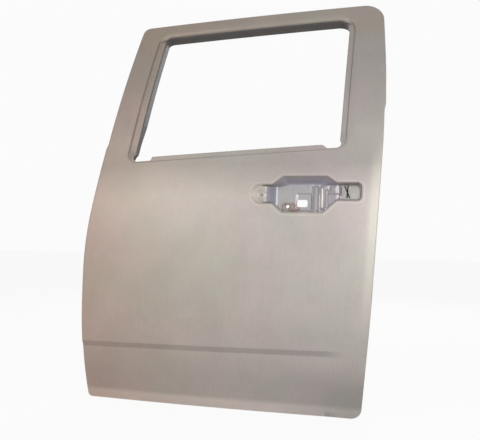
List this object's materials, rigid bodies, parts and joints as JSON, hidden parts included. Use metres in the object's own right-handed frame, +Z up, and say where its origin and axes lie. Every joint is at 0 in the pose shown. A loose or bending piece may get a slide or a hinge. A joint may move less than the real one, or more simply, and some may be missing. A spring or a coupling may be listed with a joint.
{
  "type": "car door shell",
  "caption": "Bare pressed-steel rear door shell for a crew-cab vehicle: hemmed outer skin with drawn handle pocket and framed window opening, stamped inner panel and reinforcements.",
  "frame": {"origin": "middle of the upper hinge face, on the outside of the hinge wall between its bolt holes", "axes": "+X from the hinge edge to the latch edge, which is the vehicle's front to rear. +Y from the outer skin to the cabin. +Z up."},
  "size_m": [0.8454, 0.2542, 1.1686],
  "materials": {
    "skin_steel": "dull bare steel with fine wiping scratches, warm patches and specks of rust in the handle pocket",
    "panel_steel": "dull bare steel",
    "plate_steel": "dull bare steel",
    "beam_steel": "dark drawn tube, dull",
    "channel_steel": "dull rolled steel",
    "plated_steel": "thin plating, slightly yellow",
    "mastic": "matt black mastic"
  },
  "bodies": {
    "root": {"outer_skin": "skin_steel", "inner_panel": "panel_steel", "handle_reinforcement": "plate_steel", "outer_belt_reinforcement": "plate_steel", "inner_belt_reinforcement": "plate_steel", "impact_beam": "beam_steel", "impact_beam_front_bracket": "plate_steel", "impact_beam_rear_bracket": "plate_steel", "mastic_pad_1": "mastic", "mastic_pad_2": "mastic", "mastic_pad_3": "mastic", "upper_hinge_reinforcement": "plate_steel", "upper_hinge_lower_weld_nut": "plated_steel", "upper_hinge_upper_weld_nut": "plated_steel", "lower_hinge_reinforcement": "plate_steel", "lower_hinge_lower_weld_nut": "plated_steel", "lower_hinge_upper_weld_nut": "plated_steel", "check_link_reinforcement": "plate_steel", "check_link_lower_weld_nut": "plated_steel", "check_link_upper_weld_nut": "plated_steel", "latch_reinforcement": "plate_steel", "front_glass_channel": "channel_steel", "front_channel_bracket": "plate_steel", "rear_glass_channel": "channel_steel", "rear_channel_bracket": "plate_steel"}
  },
  "joints": []
}
